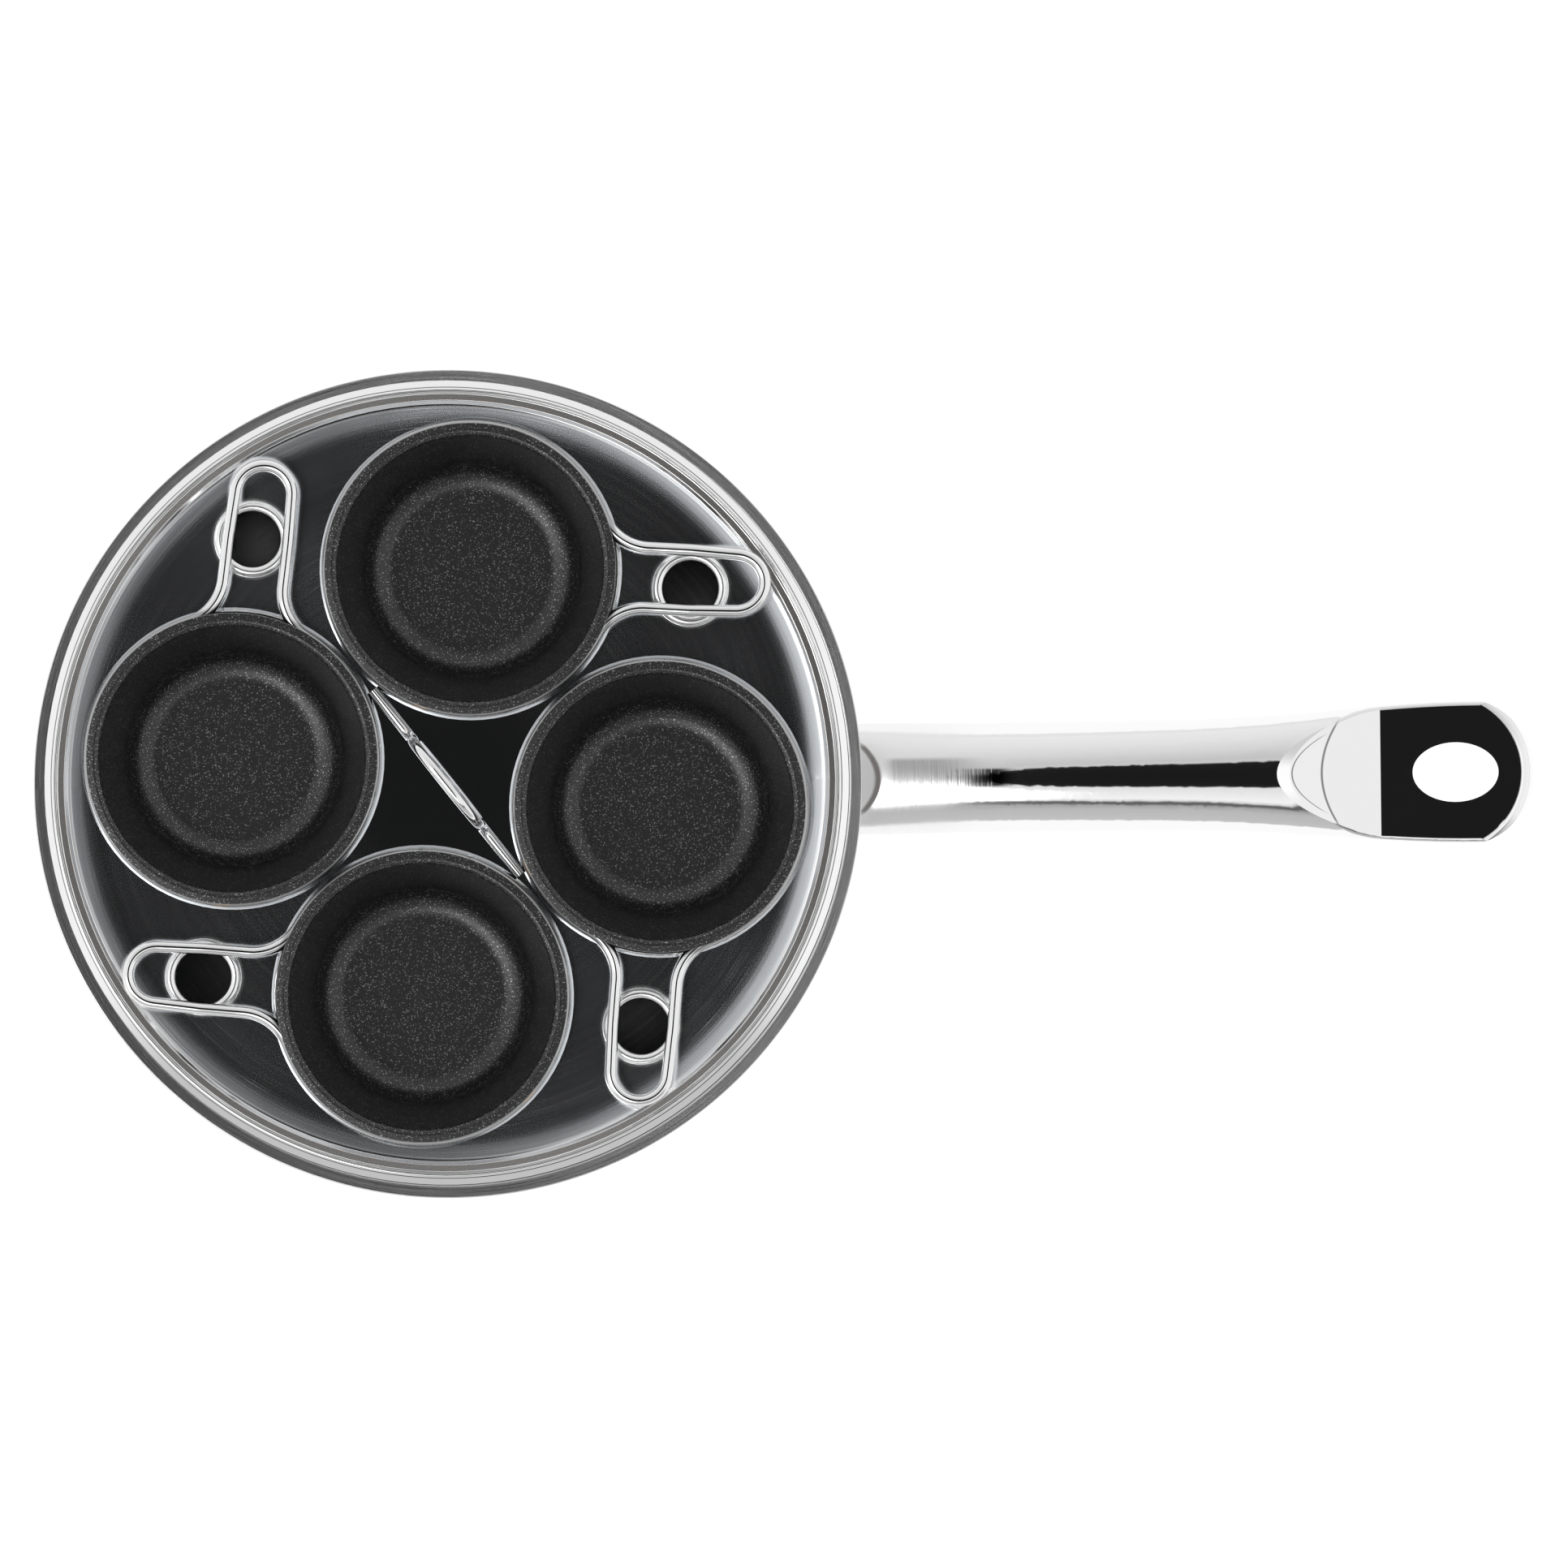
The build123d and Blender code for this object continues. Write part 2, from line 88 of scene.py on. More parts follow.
# Wire handles
wire_diameter = 3.0 * mm
ring_radius = 35.55 * mm
ring_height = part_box("cup_handle_1")[0][2] + wire_diameter / 2
loop_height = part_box("cup_handle_1")[1][2] - wire_diameter / 2
loop_reach = 73.4 * mm
bend_reach = 55.0 * mm
leg_half_gap = 7.5 * mm
leg_flare_radius = 13.0 * mm
leg_taper_deg = 2.2
leg_lead = 2.0 * mm
weld_deg = (205.0, 250.0, 266.0, 317.0)
weld_length = 3.0 * mm
weld_core_share = 0.3
weld_swell = 0.05

# Wire that lifts the tray
lift_diameter = 2.6 * mm
lift_foot_end = 29.45 * mm
lift_arch_foot = 14.0 * mm
lift_arch_top = 12.0 * mm
lift_arch_height = 15.0 * mm
lift_bends = (3.5 * mm, 10.0 * mm, 10.0 * mm, 3.5 * mm)

# How finely the shapes are cut, and the angle past which an edge stays sharp
pan_turn_steps = 288
pan_bend_steps = 14
cup_turn_steps = 160
cup_bend_steps = 12
lift_bend_steps = 10
wire_sides = 28
cup_wire_step = 0.8 * mm
lift_wire_step = 0.5 * mm
arc_steps_per_degree = 0.5
least_arc_steps = 4
guard_gap = 0.06 * mm
merge_distance = 0.001 * mm
corner_angle = radians(38)

# The photograph's camera, which is a little turned about its view
photo_roll_deg = 0.68
camera_distance = 2.75
frame_width = 0.391
frame_offset = 83.8 * mm
sensor_width = 36.0
view_reach = 20.0


# Node trees

class Value:
    """A node's output that can stand in arithmetic: each operator adds a Math node."""

    def __init__(self, graph, socket):
        self.graph = graph
        self.socket = socket

    def math(self, operation, *others):
        return self.graph.node("ShaderNodeMath", {"operation": operation},
                               {n: v for n, v in enumerate((self,) + others)})

    def __add__(self, other):
        return self.math("ADD", other)

    def __radd__(self, other):
        return self.math("ADD", other)

    def __sub__(self, other):
        return self.math("SUBTRACT", other)

    def __rsub__(self, other):
        return self.math("MULTIPLY_ADD", -1, other)

    def __mul__(self, other):
        return self.math("MULTIPLY", other)

    def __rmul__(self, other):
        return self.math("MULTIPLY", other)

    def __truediv__(self, other):
        return self.math("DIVIDE", other)

    def __pow__(self, other):
        return self.math("POWER", other)


class Graph:
    """A node tree and the one way in which nodes are added to it."""

    def __init__(self, tree):
        self.tree = tree
        tree.nodes.clear()

    def node(self, kind, settings=None, sockets=None, out=0):
        made = self.tree.nodes.new(kind)
        for name, value in (settings or {}).items():
            if name == "ramp":
                self.set_ramp(made.color_ramp, value)
            else:
                setattr(made, name, value)
        for name, value in (sockets or {}).items():
            if isinstance(value, Value):
                self.tree.links.new(value.socket, made.inputs[name])
            else:
                made.inputs[name].default_value = value
        return Value(self, made.outputs[out]) if made.outputs else made

    @staticmethod
    def set_ramp(ramp, stops):
        while len(ramp.elements) > 1:
            ramp.elements.remove(ramp.elements[-1])
        for number, (place, shade) in enumerate(stops):
            stop = ramp.elements[0] if number == 0 else ramp.elements.new(place)
            stop.position = place
            stop.color = (shade, shade, shade, 1)

    def split(self, vector):
        """The three parts of a vector."""
        return [self.node("ShaderNodeSeparateXYZ", None, {"Vector": vector}, out=n)
                for n in range(3)]

    def join(self, x, y, z):
        return self.node("ShaderNodeCombineXYZ", None, {"X": x, "Y": y, "Z": z})

    def blend(self, factor, first, second):
        """A colour between two others. The Mix node's colours are its sockets 6 and 7, and
        its output 2, because those of its other kinds come before."""
        colours = {0: factor, 6: first, 7: second}
        return self.node("ShaderNodeMix", {"data_type": "RGBA"}, colours, out=2)

    def step(self, value, low, high):
        """0 below low, 1 above high and smooth between them."""
        return self.node("ShaderNodeMapRange", {"interpolation_type": "SMOOTHSTEP"},
                         {"Value": value, "From Min": low, "From Max": high})

    def noise(self, place, detail=2.0, roughness=0.5):
        return self.node("ShaderNodeTexNoise", None,
                         {"Vector": place, "Scale": 1.0, "Detail": detail,
                          "Roughness": roughness})

    def bump(self, height, strength, distance):
        return self.node("ShaderNodeBump", None,
                         {"Strength": strength, "Distance": distance, "Height": height})


def grey(shade):
    return (shade, shade, shade, 1)


# Finishes. A noise is given by its scale, its detail and its roughness, and a scale by its
# waves to a metre along x, y and z, or along a radius, a bearing in radians and a height.
# Limits are where a mark or a zone starts and where it is full. A relief is a bump's strength
# and its depth. A rough value is 0 for a mirror and 1 for chalk.

# Painted shadow on the steel beneath the rims of the cups, by the distance from each cup's own
# middle
rim_shadow_limits = (36.9 * mm, 38.1 * mm)

# Thin lines across the handle: how much of one is full across it and along it
line_core_share = 0.2
line_full_share = 0.8


def finish(name):
    """A new material and its graph."""
    material = bpy.data.materials.new(name)
    material.use_nodes = True
    return material, Graph(material.node_tree)


def surface(graph, **sockets):
    """Close a material with one Principled shader."""
    named = {name.replace("_", " "): value for name, value in sockets.items()}
    shader = graph.node("ShaderNodeBsdfPrincipled", None, named)
    graph.node("ShaderNodeOutputMaterial", None, {"Surface": shader})


def place_on(graph, centre=(0, 0, 0), scale=(1, 1, 1)):
    """Object coordinates from a centre, stretched by a scale."""
    place = graph.node("ShaderNodeTexCoord", out="Object")
    return graph.node("ShaderNodeMapping", None,
                      {"Vector": place, "Location": tuple(-c * s for c, s in zip(centre, scale)),
                       "Scale": scale})


def texture(graph, noise, centre=(0, 0, 0)):
    """A noise in the piece's own frame."""
    scale, detail, roughness = noise
    return graph.noise(place_on(graph, centre, scale), detail, roughness)


def about(graph, centre):
    """Radius, bearing and height about a centre."""
    x, y, z = graph.split(place_on(graph, (centre[0], centre[1], 0)))
    return (x * x + y * y) ** 0.5, y.math("ARCTAN2", x), z


def turned_texture(graph, place, noise):
    """A noise drawn out round an axis, for a place that about() gives."""
    scale, detail, roughness = noise
    return graph.noise(graph.join(*(p * s for p, s in zip(place, scale))), detail, roughness)


def nearest_of_ring(graph, centre, pitch_radius, first_deg):
    """How far a place is from the nearest of the points that stand in a ring, one to a cup."""
    radius, bearing, _ = about(graph, centre)
    step = radians(cup_step_deg)
    off = (bearing - (radians(first_deg) - step / 2)).math("FLOORED_MODULO", step) - step / 2
    across = radius * radius + pitch_radius ** 2
    return (across - radius * off.math("COSINE") * (2 * pitch_radius)) ** 0.5


def rim_shadow_mask(graph):
    """1 beneath the rims of the cups, where a shadow is painted darker onto the steel, and 0
    elsewhere.
    """
    reach = nearest_of_ring(graph, tray_centre, cup_pitch_radius, first_cup_deg)
    return 1 - graph.step(reach, *rim_shadow_limits)


def curved_line(graph, x, y, place, bow, half_width, half_length):
    """1 on a thin line that crosses the handle's middle at a place and bows, 0 elsewhere."""
    off = (x - place - y * y * bow).math("ABSOLUTE")
    short = 1 - graph.step(y.math("ABSOLUTE"), half_length * line_full_share, half_length)
    return (1 - graph.step(off, half_width * line_core_share, half_width)) * short


# Mirror of the handle
mirror_shade = 0.9
mirror_rough = 0.035
mirror_relief = (0.35, 0.04 * mm)
grain_noise = ((2600, 2600, 2600), 2.0, 0.5)
grain_height = 0.12
grinding_noise = ((30, 1800, 900), 2.0, 0.5)
grinding_height = 0.08
cloud_noise = ((60, 60, 60), 3.0, 0.5)
cloud_rough = 0.03

# Root of the handle: a satin patch with streaks, whose grey is a painted reflection, and the
# ragged start of the strip that stays dark in the mirror, a painted dark reflection
root_limits = (121 * mm, 137 * mm)
root_rough = 0.12
streak_noise = ((1500, 60, 60), 3.0, 0.65)
streak_height = 3
patch_start_limits = (108 * mm, 112 * mm)
patch_side_limits = (4.2 * mm, 5.6 * mm)
patch_least = 0.5
patch_reflection_shade = 0.4
strip_end_limits = (137 * mm, 143 * mm)
strip_side_limits = (1.82 * mm, 2.6 * mm)
strip_rise = 0.3
strip_limits = (0.5, 0.7)
dark_reflection_shade = 0.05

# A grey reflection painted across the root at the weld, and dark reflections painted in the
# creases of the bend. Each has its place, its bow, half its width and half its length.
weld_line = (107.4 * mm, -58.0, 1.3 * mm, 9.5 * mm)
weld_reflection_strength = 0.9
weld_reflection_colour = (0.24, 0.22, 0.21, 1)
crease_lines = ((210.6 * mm, 90.0, 0.28 * mm, 10.5 * mm),
                (218.1 * mm, 25.3, 0.45 * mm, 14.0 * mm))
crease_strength = 0.85
crease_reflection_shade = 0.12


def polished_steel():
    """Mirror of the handle: fine grinding lines, a hazy grain, streaks at its root and reflections
    painted along it.
    """
    material, graph = finish("polished steel")
    x, y, _ = graph.split(place_on(graph))
    side = y.math("ABSOLUTE")
    streaks = texture(graph, streak_noise)
    past_root = graph.step(x, *root_limits)
    root = 1 - past_root
    patch_reach = root * graph.step(x, *patch_start_limits)
    height = (texture(graph, grinding_noise) * grinding_height
              + texture(graph, grain_noise) * grain_height
              + streaks * patch_reach * streak_height)
    rough = (mirror_rough + texture(graph, cloud_noise) * cloud_rough
             + root * (root_rough + streaks * root_rough))
    # The patch's grey is a painted reflection; its streaks and roughness belong to the metal
    patch = (patch_reach * (1 - graph.step(side, *patch_side_limits))
             * (patch_least + streaks * (1 - patch_least)))
    colour = graph.blend(patch, grey(mirror_shade), grey(patch_reflection_shade))
    # Painted dark reflection at the ragged start of the strip
    ragged = streaks + graph.step(x, root_limits[0], strip_end_limits[1]) * strip_rise
    strip = (past_root * (1 - graph.step(x, *strip_end_limits))
             * (1 - graph.step(side, *strip_side_limits)) * graph.step(ragged, *strip_limits))
    colour = graph.blend(strip, colour, grey(dark_reflection_shade))
    # Painted grey reflection across the root at the weld
    weld = curved_line(graph, x, y, *weld_line)
    colour = graph.blend(weld * weld_reflection_strength, colour, weld_reflection_colour)
    # Painted dark reflections in the creases of the bend
    for line in crease_lines:
        crease = curved_line(graph, x, y, *line)
        colour = graph.blend(crease * crease_strength, colour, grey(crease_reflection_shade))
    surface(graph, Base_Color=colour, Metallic=1.0, Roughness=rough,
            Normal=graph.bump(height, *mirror_relief))
    return material


# Wire
wire_shade = 0.86
wire_rim_shadow_shade = 0.4
weld_colour = (0.5, 0.44, 0.38, 1)
wire_rough = 0.03
wire_haze_rough = 0.06
weld_rough = 0.16
draw_mark_noise = ((900, 900, 900), 3.0, 0.7)
wire_haze_noise = ((130, 130, 130), 2.0, 0.5)
wire_relief = (0.25, 0.03 * mm)


def drawn_wire():
    """Bright wire with fine draw marks, darkened beneath the rims by painted shadow, and tinted at
    its weld.
    """
    material, graph = finish("drawn wire")
    weld = graph.node("ShaderNodeAttribute", {"attribute_name": "weld"}, out="Fac")
    # Painted shadow: the wire is darker beneath the cups' rims
    bright = graph.blend(rim_shadow_mask(graph), grey(wire_shade), grey(wire_rim_shadow_shade))
    rough = wire_rough + texture(graph, wire_haze_noise) * wire_haze_rough + weld * weld_rough
    surface(graph, Base_Color=graph.blend(weld, bright, weld_colour), Metallic=1.0,
            Roughness=rough, Normal=graph.bump(texture(graph, draw_mark_noise), *wire_relief))
    return material


# Brushed steel of the pan
pan_shade = 0.74
worn_share = 0.86
worn_noise = ((1800, 3, 1800), 2.0, 0.5)
worn_limits = (0.35, 0.7)
brush_noise = ((9000, 1.5, 9000), 3.0, 0.7)
brush_limits = (0.3, 0.7)
brush_rough = 0.16
brush_rough_rise = 0.08
brush_relief = (0.12, 0.1 * mm)
brush_anisotropy = 0.6


def brushed_steel():
    """Satin steel with fine rings turned round the pan's axis."""
    material, graph = finish("brushed steel")
    place = about(graph, (0, 0))
    lines = turned_texture(graph, place, brush_noise)
    worn = graph.step(turned_texture(graph, place, worn_noise), *worn_limits)
    surface(graph, Base_Color=graph.blend(worn, grey(pan_shade * worn_share), grey(pan_shade)),
            Metallic=1.0, Anisotropic=brush_anisotropy,
            Roughness=brush_rough + graph.step(lines, *brush_limits) * brush_rough_rise,
            Normal=graph.bump(lines, *brush_relief))
    return material


# Zones of the tray, by the distance from its own centre or from a vent's
flat_limits = (10 * mm, 40 * mm)
scratch_zone_limits = (20 * mm, 40 * mm)
cove_limits = (88.0 * mm, 92.0 * mm)
edge_limits = (93.5 * mm, 94.5 * mm)
ledge_inner_limits = (95.0 * mm, 95.4 * mm)
ledge_outer_limits = (96.7 * mm, 97.1 * mm)
rim_grooves = (97.6 * mm, 98.55 * mm)
groove_width = 0.22 * mm
groove_depth = 0.05 * mm
vent_pitch_radius = 77.7 * mm
bead_limits = (9.6 * mm, 10.6 * mm)

# Bright steel of the tray
arc_noise = ((1600, 1.1, 900), 3.0, 0.75)
arc_limits = (0.4, 0.75)
arc_height = 0.35
wipe_noise = ((3600, 2.2, 1), 2.0, 0.6)
wipe_limits = (0.56, 0.72)
wipe_height = 0.25
wiped_noise = ((26, 26, 26), 2.0, 0.5)
wiped_limits = (0.46, 0.66)
tray_relief = (0.03, 0.1 * mm)
tray_anisotropy = 0.5
tray_rough = 0.035
flat_rough = 0.065
wiped_rough = 0.05
arc_rough = 0.02
wipe_rough = 0.07
cove_rough = 0.05
ledge_rough = 0.19
bead_rough = 0.07
tray_colour = (0.76, 0.79, 0.82, 1)
arc_colour = (0.82, 0.835, 0.85, 1)
ledge_colour = (0.8, 0.775, 0.75, 1)
edge_shade = 0.92
tray_rim_shadow_shade = 0.5
groove_painted_shade = 0.1


def tray_steel():
    """Bright steel with faint arcs, wiping scratches and a cold tint. It is brushed softer
    towards the cove, the ledge is a matt brownish ring and the vents' beads are satin."""
    material, graph = finish("tray steel")
    place = about(graph, tray_centre)
    radius = place[0]
    arcs = turned_texture(graph, place, arc_noise)
    wipes = turned_texture(graph, place, wipe_noise)
    wiped = texture(graph, wiped_noise)
    wiped_zone = graph.step(wiped, *wiped_limits) * graph.step(radius, *scratch_zone_limits)
    arc = graph.step(arcs, *arc_limits)
    edge = graph.step(radius, *edge_limits)
    cove = graph.step(radius, *cove_limits) * (1 - edge)
    ledge = (graph.step(radius, *ledge_inner_limits)
             * (1 - graph.step(radius, *ledge_outer_limits)))
    vent_reach = nearest_of_ring(graph, tray_centre, vent_pitch_radius,
                                 first_cup_deg + cup_step_deg / 2)
    bead = 1 - graph.step(vent_reach, *bead_limits)
    flat = graph.step(radius, *flat_limits) * (1 - edge)
    flat_haze = (flat_rough + wiped * wiped_rough + arc * arc_rough
                 + graph.step(wipes, *wipe_limits) * wiped_zone * wipe_rough)
    rough = (tray_rough + flat * flat_haze + cove * cove_rough + ledge * ledge_rough
             + bead * bead_rough)
    colour = graph.blend(arc, tray_colour, arc_colour)
    colour = graph.blend(edge.math("MAXIMUM", bead), colour, grey(edge_shade))
    colour = graph.blend(ledge, colour, ledge_colour)
    # Painted shadow: the tray is darker beneath the cups' rims
    colour = graph.blend(rim_shadow_mask(graph), colour, grey(tray_rim_shadow_shade))
    # Rim grooves: pressed in by the bump, and darkened by painted shade
    grooves = 0
    for groove in rim_grooves:
        grooves = 1 - graph.step((radius - groove).math("ABSOLUTE"), 0, groove_width) + grooves
    fine = graph.bump(arcs * arc_height + wipes * wiped_zone * wipe_height, *tray_relief)
    pressed = graph.node("ShaderNodeBump", {"invert": True},
                         {"Strength": 1.0, "Distance": groove_depth, "Height": grooves,
                          "Normal": fine})
    surface(graph, Base_Color=graph.blend(grooves, colour, grey(groove_painted_shade)), Metallic=1.0,
            Roughness=rough, Anisotropic=tray_anisotropy, Normal=pressed)
    return material


# Coating of the cups, and the bare metal at the edge of their rims
coat_shade = 0.006
coat_rough = 0.26
coat_grain_rough = 0.08
coat_gloss = 0.65
coat_grain_noise = ((2400, 2400, 2400), 2.0, 0.7)
coat_relief = (0.4, 0.08 * mm)
fleck_noise = ((3000, 3000, 3000), 0.0, 0.5)
fleck_centre = (13 * mm, 7 * mm, 0)
fleck_limits = (0.66, 0.76)
fleck_shade = 0.3
fleck_metal = 0.7
bare_limits = (cup_rim_radius - 0.12 * mm, cup_rim_radius - 0.03 * mm)
bare_shade = 0.6
bare_rough = 0.12


def coated_cup():
    """Black non-stick coating with fine metallic flecks, and bare metal at the rim's edge."""
    material, graph = finish("black coating")
    radius = graph.node("ShaderNodeAttribute", {"attribute_name": "reach"}, out="Fac")
    grain = texture(graph, coat_grain_noise)
    fleck = graph.step(texture(graph, fleck_noise, fleck_centre), *fleck_limits)
    bare = graph.step(radius, *bare_limits)
    coat = graph.blend(fleck, grey(coat_shade), grey(fleck_shade))
    rough = (coat_rough + grain * coat_grain_rough) * (1 - bare) + bare * bare_rough
    surface(graph, Base_Color=graph.blend(bare, coat, grey(bare_shade)),
            Metallic=(fleck * fleck_metal).math("MAXIMUM", bare), Roughness=rough,
            Specular_IOR_Level=coat_gloss, Normal=graph.bump(grain, *coat_relief))
    return material


# Aluminium of the heat spreader
core_shade = 0.8
core_rough = 0.35
core_grain_rough = 0.1
core_noise = ((300, 300, 300), 2.0, 0.5)


def plain_aluminium():
    """Dull metal with a soft grain."""
    material, graph = finish("plain aluminium")
    rough = core_rough + texture(graph, core_noise) * core_grain_rough
    surface(graph, Base_Color=grey(core_shade), Metallic=1.0, Roughness=rough)
    return material


polished = polished_steel()
wire = drawn_wire()
pan_steel = brushed_steel()
tray_metal = tray_steel()
coating = coated_cup()
aluminium = plain_aluminium()

finishes = {
    "satin_steel": pan_steel, "polished_steel": polished, "tray_steel": tray_metal,
    "wire_steel": wire, "nonstick_cup": coating, "heat_core": aluminium,
}
for part in record["subparts"]:
    node = frame["nodes"][part["node"]]
    node.data.materials.clear()
    node.data.materials.append(finishes[part["material_slot"]])


# Shapes that follow a path or turn about an axis

def shape_tree(name, sizes):
    """A Geometry Nodes tree that takes a line of points and the named sizes."""
    tree = bpy.data.node_groups.new(name, "GeometryNodeTree")
    face = tree.interface
    face.new_socket("Geometry", in_out="INPUT", socket_type="NodeSocketGeometry")
    for label, kind in sizes:
        face.new_socket(label, in_out="INPUT", socket_type=kind)
    face.new_socket("Geometry", in_out="OUTPUT", socket_type="NodeSocketGeometry")
    graph = Graph(tree)
    entry = graph.node("NodeGroupInput")
    given = {socket.name: Value(graph, socket) for socket in entry.socket.node.outputs}
    return graph, given


def close_tree(graph, given, mesh):
    """Smooth faces with sharp corners, one plain mesh and its material."""
    smooth = graph.node("GeometryNodeSetShadeSmooth", None,
                        {"Geometry": mesh, "Shade Smooth": True})
    corner = graph.node("GeometryNodeInputMeshEdgeAngle").math("GREATER_THAN", given["Corner"])
    cornered = graph.node("GeometryNodeSetShadeSmooth", {"domain": "EDGE"},
                          {"Geometry": smooth, "Selection": corner, "Shade Smooth": False})
    plain = graph.node("GeometryNodeRealizeInstances", None, {"Geometry": cornered})
    painted = graph.node("GeometryNodeSetMaterial", None,
                         {"Geometry": plain, "Material": given["Material"]})
    graph.node("NodeGroupOutput", None, {"Geometry": painted})


def keep(graph, geometry, name, value):
    """Keep a number at each point, for later nodes and for the material."""
    return graph.node("GeometryNodeStoreNamedAttribute", None,
                      {"Geometry": geometry, "Name": name, "Value": value})


def wire_tree():
    """Round wire along a path, a little swollen where its ends are welded."""
    graph, given = shape_tree("round wire", (
        ("Diameter", "NodeSocketFloat"), ("Step", "NodeSocketFloat"), ("Sides", "NodeSocketInt"),
        ("Weld Place", "NodeSocketVector"), ("Weld Length", "NodeSocketFloat"),
        ("Weld Swell", "NodeSocketFloat"), ("Corner", "NodeSocketFloat"),
        ("Material", "NodeSocketMaterial")))
    path = graph.node("GeometryNodeMeshToCurve", None, {"Mesh": given["Geometry"]})
    even = graph.node("GeometryNodeResampleCurve", {"mode": "LENGTH"},
                      {"Curve": path, "Length": given["Step"]})
    here = graph.node("GeometryNodeInputPosition")
    off = graph.node("ShaderNodeVectorMath", {"operation": "DISTANCE"},
                     {0: here, 1: given["Weld Place"]}, out="Value")
    near = 1 - graph.step(off / given["Weld Length"], weld_core_share, 1.0)
    marked = keep(graph, even, "weld", near)
    ring = graph.node("GeometryNodeCurvePrimitiveCircle", None,
                      {"Resolution": given["Sides"], "Radius": given["Diameter"] / 2})
    swell = 1 + near * given["Weld Swell"]
    mesh = graph.node("GeometryNodeCurveToMesh", None,
                      {"Curve": marked, "Profile Curve": ring, "Scale": swell,
                       "Fill Caps": True})
    close_tree(graph, given, mesh)
    return graph.tree


def turned_tree():
    """A sheet's section turned about the upright axis and set in its place."""
    graph, given = shape_tree("turned sheet", (
        ("Turn Steps", "NodeSocketInt"), ("Place", "NodeSocketVector"),
        ("Corner", "NodeSocketFloat"), ("Material", "NodeSocketMaterial")))
    x, _, z = graph.split(graph.node("GeometryNodeInputPosition"))
    section = keep(graph, keep(graph, given["Geometry"], "reach", x), "level", z)
    outline = graph.node("GeometryNodeMeshToCurve", None, {"Mesh": section})
    line = graph.node("GeometryNodeCurvePrimitiveLine", None, {"End": (0, 0, 1)})
    sweep = graph.node("GeometryNodeResampleCurve", None,
                       {"Curve": line, "Count": given["Turn Steps"] + 1})
    part_turn = graph.node("GeometryNodeSplineParameter")
    turning = keep(graph, sweep, "turn", part_turn * 2 * pi)
    sheet = graph.node("GeometryNodeCurveToMesh", None,
                       {"Curve": turning, "Profile Curve": outline})
    radius, height, turn = (graph.node("GeometryNodeInputNamedAttribute", None, {"Name": name})
                            for name in ("reach", "level", "turn"))
    place = graph.join(radius * turn.math("COSINE"), radius * turn.math("SINE"), height)
    set_out = graph.node("GeometryNodeSetPosition", None,
                         {"Geometry": sheet, "Position": place, "Offset": given["Place"]})
    closed = graph.node("GeometryNodeMergeByDistance", None,
                        {"Geometry": set_out, "Distance": merge_distance})
    close_tree(graph, given, closed)
    return graph.tree


def line_mesh(name, points, closed):
    """A mesh of bare points joined in a row."""
    count = len(points)
    edges = [(n, (n + 1) % count) for n in range(count if closed else count - 1)]
    mesh = bpy.data.meshes.new(name)
    mesh.from_pydata([tuple(p) for p in points], edges, [])
    return mesh


def shaped(name, source, tree, sizes, body, node):
    """Run a tree on a line of points and let the plain mesh stand for a node."""
    maker = bpy.data.objects.new(name + "_line", source)
    bpy.context.scene.collection.objects.link(maker)
    modifier = maker.modifiers.new("shape", "NODES")
    modifier.node_group = tree
    for item in tree.interface.items_tree:
        if item.in_out == "INPUT" and item.name in sizes:
            modifier[item.identifier] = sizes[item.name]
    ready = maker.evaluated_get(bpy.context.evaluated_depsgraph_get())
    mesh = bpy.data.meshes.new_from_object(ready)
    bpy.data.objects.remove(maker)
    mesh.name = name
    piece = bpy.data.objects.new(name, mesh)
    bpy.context.scene.collection.objects.link(piece)
    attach(piece, body)
    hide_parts(node)


def bent(points, bends, steps):
    """Runs through the points with a round bend at each inner one. A bend also gets a point
    just outside it, so that the shading of a flat run stays flat."""
    corners = [Vector(p) for p in points]
    path = [corners[0]]
    for before, corner, after, bend in zip(corners, corners[1:], corners[2:], bends):
        back = (before - corner).normalized()
        on = (after - corner).normalized()
        half = acos(max(-1.0, min(1.0, back.dot(on)))) / 2
        reach = bend / tan(half)
        centre = corner + (back + on).normalized() * (bend / sin(half))
        first = corner + back * reach - centre
        last = corner + on * reach - centre
        sweep = pi - 2 * half
        path.append(corner + back * (reach + guard_gap))
        for n in range(steps + 1):
            share = n / steps
            path.append(centre + (first * sin((1 - share) * sweep)
                                  + last * sin(share * sweep)) / sin(sweep))
        path.append(corner + on * (reach + guard_gap))
    return path + [corners[-1]]


def sheet_section(points, bends, sheet, edge_bend, steps):
    """Section of a bent sheet, from the axis along its upper face, round its edge and back
    along its under face. Bends are inside radii."""
    runs = [(Vector(there) - Vector(here)).normalized() for here, there in zip(points, points[1:])]
    sides = [Vector((run.y, -run.x)) for run in runs]
    far = []
    for point, first, second in zip(points, [sides[0]] + sides, sides + [sides[-1]]):
        far.append(Vector(point) + (first + second) * (sheet / (1 + first.dot(second))))
    near_bends = []
    far_bends = []
    for first, second, bend in zip(runs, runs[1:], bends):
        turns_left = first.cross(second) > 0
        near_bends.append(bend if turns_left else bend + sheet)
        far_bends.append(bend + sheet if turns_left else bend)
    outline = [Vector(p) for p in points] + far[::-1]
    all_bends = near_bends + [edge_bend, edge_bend] + far_bends[::-1]
    return bent([(p.x, 0, p.y) for p in outline], all_bends, steps)


def on_tray(radius, bearing_deg):
    """A place on the tray by its radius and bearing about the tray's own centre."""
    bearing = radians(bearing_deg)
    return tray_centre[0] + radius * cos(bearing), tray_centre[1] + radius * sin(bearing)


